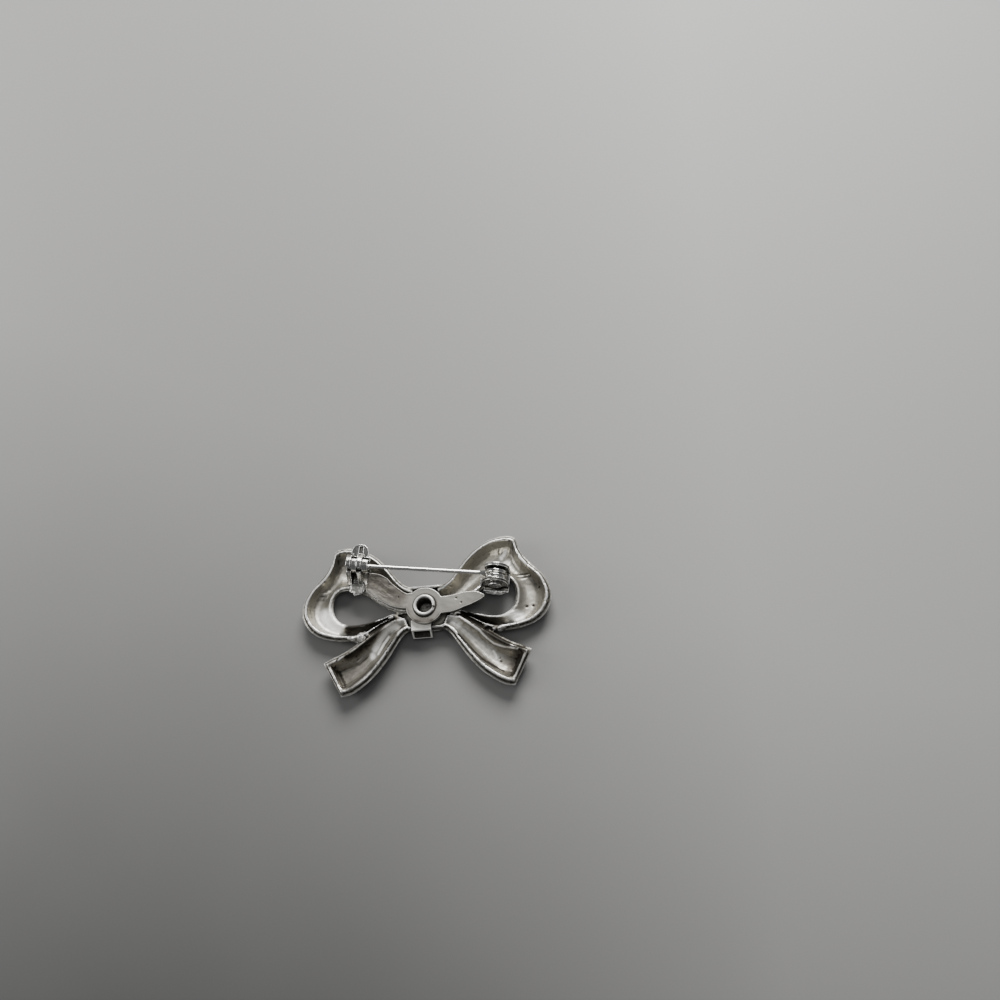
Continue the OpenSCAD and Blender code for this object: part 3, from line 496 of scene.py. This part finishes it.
def silver(name, rubbed_and_highlit, open_tone, tarnish_and_shade, shine, open_rough, bumps, frost, worn, lines):
    """An old silver finish: colour of worn bright places and painted highlights, colour in the open, how
    soon walls and corners turn black with tarnish and painted shade (0 to 1), roughness where it is worn
    bright and in the open, strength of the fine marks, how frosted the open metal and the worn edges are,
    and how dark the painted shade lines just off the edges are."""
    finish = Finish(name)
    place = finish.add("ShaderNodeTexCoord", {}, {}, "Object")
    hollow, ridge, steep, beside, frost_and_highlight, stain_and_shade = [
        finish.add("ShaderNodeAttribute", {"attribute_name": kept}, {}, "Fac")
        for kept in ("hollow", "ridge", "steep", "beside", "frost_and_highlight", "stain_and_shade")]
    # blotches of about 4 mm, marks of about 0.8 mm and dust of about 0.2 mm
    broad = finish.spots(place, 240, 4)
    fine = finish.spots(place, 1300, 5, 0.65)
    dust = finish.spots(place, 5200, 2)
    # black: tarnish with painted shade on walls and corners in hollows and in the lines just off edges
    wall = finish.range(steep, 0.3, 0.8) * finish.range(hollow, 0.2, 0.6)
    corner = finish.range(ridge, 0.46, 0.36) + finish.range(hollow, 0.78 - 0.3 * tarnish_and_shade, 0.98 - 0.3 * tarnish_and_shade)
    black = (wall * 0.5 + corner + beside * lines) * tarnish_and_shade + (fine - 0.5) * 0.8 + (broad - 0.5) * 0.4
    black = (black - frost_and_highlight + stain_and_shade * 1.3 - 0.12).clipped()
    # bright: worn crests, and painted highlights
    crest = finish.range(ridge, 0.6, 0.8)
    bright = (crest + frost_and_highlight * 1.1 + (fine - 0.5) * 1.1 + (broad - 0.5) * 0.7 - stain_and_shade - 0.1).clipped()
    blotch, speck = [(*[c * share for c in open_tone], 1) for share in (0.76, 0.55)]
    tone = finish.blend(finish.range(broad, 0.35, 0.65), (*open_tone, 1), blotch)
    tone = finish.blend(finish.range(fine, 0.5, 0.78, 0, 0.6), tone, speck)
    colour = finish.blend(bright, tone, (*rubbed_and_highlit, 1))
    # a brown tint for the painted tarnish and shade
    colour = finish.blend((stain_and_shade * 0.8).clipped(), colour, BROWN_STAIN_AND_SHADE)
    colour = finish.blend(black, colour, BLACK_TARNISH_AND_SHADE)
    # painted highlights turn matte and white, so that they stay bright as if lit
    metal = (1 - (frost_and_highlight * 0.85 + crest * worn + frost)).clipped()
    rough = finish.range(bright, 0, 1, open_rough, shine) + (fine - 0.5) * 0.2 + black * 0.2 + frost_and_highlight * 0.22
    marks = {"Strength": bumps, "Distance": 0.035 * MM, "Height": fine * 0.75 + dust * 0.25}
    bump = finish.add("ShaderNodeBump", {}, marks)
    sockets = {"Base Color": colour, "Metallic": metal, "Roughness": rough.clipped(), "Normal": bump}
    shader = finish.add("ShaderNodeBsdfPrincipled", {}, sockets)
    finish.add("ShaderNodeOutputMaterial", {}, {"Surface": shader}, None)
    return finish.material


cast_silver = silver(
    "cast_silver", rubbed_and_highlit=(0.97, 0.96, 0.92), open_tone=(0.35, 0.333, 0.29), tarnish_and_shade=0.95, shine=0.22,
    open_rough=0.4, bumps=0.5, frost=0.1, worn=0.3, lines=1.0)
sheet_silver = silver(
    "sheet_silver", rubbed_and_highlit=(0.50, 0.49, 0.455), open_tone=(0.27, 0.258, 0.23), tarnish_and_shade=0.8, shine=0.34,
    open_rough=0.42, bumps=0.5, frost=0.2, worn=0.2, lines=0.6)
rivet_silver = silver(
    "rivet_silver", rubbed_and_highlit=(0.80, 0.79, 0.75), open_tone=(0.52, 0.51, 0.47), tarnish_and_shade=0.9, shine=0.3,
    open_rough=0.4, bumps=0.3, frost=0.3, worn=0.1, lines=0.5)
# the light tone and frost paint light on the tube's top, which lies in the plate's shade
tube_silver = silver(
    "tube_silver", rubbed_and_highlit=(0.92, 0.91, 0.86), open_tone=(0.80, 0.78, 0.72), tarnish_and_shade=0.9, shine=0.3,
    open_rough=0.4, bumps=0.4, frost=0.5, worn=0.1, lines=0.2)
polished_silver = silver(
    "polished_silver", rubbed_and_highlit=(0.98, 0.97, 0.94), open_tone=(0.56, 0.55, 0.51), tarnish_and_shade=1.0, shine=0.1,
    open_rough=0.2, bumps=0.3, frost=0, worn=0.25, lines=0.8)
wire_silver = silver(
    "wire_silver", rubbed_and_highlit=(0.92, 0.91, 0.87), open_tone=(0.66, 0.64, 0.59), tarnish_and_shade=0.6, shine=0.1,
    open_rough=0.16, bumps=0.2, frost=0, worn=0, lines=0.4)
solder_silver = silver(
    "solder_silver", rubbed_and_highlit=(0.94, 0.93, 0.90), open_tone=(0.50, 0.49, 0.45), tarnish_and_shade=0.9, shine=0.2,
    open_rough=0.3, bumps=0.5, frost=0.25, worn=0.1, lines=0.8)
FINISHES = {
    cast_silver: [bow, knot],
    sheet_silver: [plate],
    rivet_silver: [eyelet],
    tube_silver: [tube],
    polished_silver: [catch, sleeve, bracket, rivet],
    wire_silver: [pin],
    solder_silver: lumps,
}
for finish, pieces in FINISHES.items():
    for piece in pieces:
        piece.data.materials.clear()
        piece.data.materials.append(finish)

# ---------------------------------------------------------------- floor, light and camera
# The brooch lies on a light grey board with painted shade on it, under soft studio light, and the camera
# looks down on its back.
FLOOR_HALF = 1.5
shape = bmesh.new()
bmesh.ops.create_grid(shape, x_segments=1, y_segments=1, size=FLOOR_HALF)
mesh = bpy.data.meshes.new("floor")
shape.to_mesh(mesh)
shape.free()
floor = bpy.data.objects.new("floor", mesh)
bpy.context.scene.collection.objects.link(floor)
board = Finish("pale_board")
place = board.add("ShaderNodeTexCoord", {}, {}, "Object")
across = board.add("ShaderNodeSeparateXYZ", {}, {"Vector": place}, "X")
along = board.add("ShaderNodeSeparateXYZ", {}, {"Vector": place}, "Y")
# painted shade: the board is darker towards the south-west, as the light falls off, and a painted shadow
# lies in a soft band that runs north a little left of the bow
painted_shadow_band = board.range((across + 0.027) * (across + 0.027), 0, 0.0069)
slope = across * 0.52 + along + board.spots(place, 20, 2) * 0.02
shade = board.range(slope, -0.107, 0.036) * 0.69 + painted_shadow_band * 0.31
tone = board.blend(shade, (0.027, 0.0268, 0.0255, 1), (0.267, 0.264, 0.255, 1))
shader = board.add("ShaderNodeBsdfPrincipled", {}, {"Base Color": tone, "Roughness": 0.75})
board.add("ShaderNodeOutputMaterial", {}, {"Surface": shader}, None)
mesh.materials.append(board.material)

# The lights and the camera aim at the hub plate's top, 4.2 mm above the floor.
HUB_POINT = Vector((HUB.x, HUB.y, 4.2)) * MM
# Each row is one soft light: name, place in mm, size in mm, power in watts.
LIGHTS = [
    ("window", (50, 260, 200), (230, 160), 2.45),
    ("ceiling", (60, -40, 420), (240, 240), 0.3),
    ("side", (-300, 40, 160), (160, 200), 0.6),
]
for name, at, size, power in LIGHTS:
    lamp = bpy.data.lights.new(name, "AREA")
    lamp.shape, lamp.size, lamp.size_y, lamp.energy = "RECTANGLE", size[0] * MM, size[1] * MM, power
    holder = bpy.data.objects.new(name, lamp)
    holder.location = Vector(at) * MM
    holder.rotation_euler = (HUB_POINT - holder.location).to_track_quat("-Z", "Y").to_euler()
    bpy.context.scene.collection.objects.link(holder)
world = bpy.data.worlds.new("room")
bpy.context.scene.world = world
world.use_nodes = True
sky = world.node_tree.nodes["Background"].inputs
sky["Color"].default_value = (0.9, 0.93, 1.0, 1)
sky["Strength"].default_value = 0.17

# The camera was found from the round plate's shape and the bow's symmetry in the photograph. It looks down
# the direction back from AWAY, and the hub's middle falls on HUB_PIXEL.
LENS, SENSOR, PICTURE = 50.0, 36.0, 1000
TILT_SOUTH, TILT_EAST, ROLL = math.radians(18.3), math.radians(8.8), math.radians(1.3)
AWAY = 244.5 * MM
HUB_PIXEL = (424.3, 605.3)
back = Vector((math.sin(TILT_EAST), -math.sin(TILT_SOUTH), 0))
back.z = math.sqrt(1 - back.length_squared)
right = (-back).cross(Vector((0, 1, 0))).normalized()
up = right.cross(-back)
right, up = math.cos(ROLL) * right - math.sin(ROLL) * up, math.sin(ROLL) * right + math.cos(ROLL) * up
pixels = LENS / SENSOR * PICTURE
to_hub = Vector((HUB_PIXEL[0] - PICTURE / 2, PICTURE / 2 - HUB_PIXEL[1], pixels)).normalized()
turn = Vector((0, 0, 1)).rotation_difference(to_hub).to_matrix()
right, up, ahead = (turn @ Matrix((right, up, -back))).row
lens = bpy.data.cameras.new("camera")
lens.lens, lens.sensor_width = LENS, SENSOR
lens.clip_start, lens.clip_end = 0.01, 10
camera = bpy.data.objects.new("camera", lens)
bpy.context.scene.collection.objects.link(camera)
camera.matrix_world = (
    Matrix.Translation(HUB_POINT + back * AWAY) @ Matrix((right, up, -ahead)).transposed().to_4x4())
bpy.context.scene.camera = camera
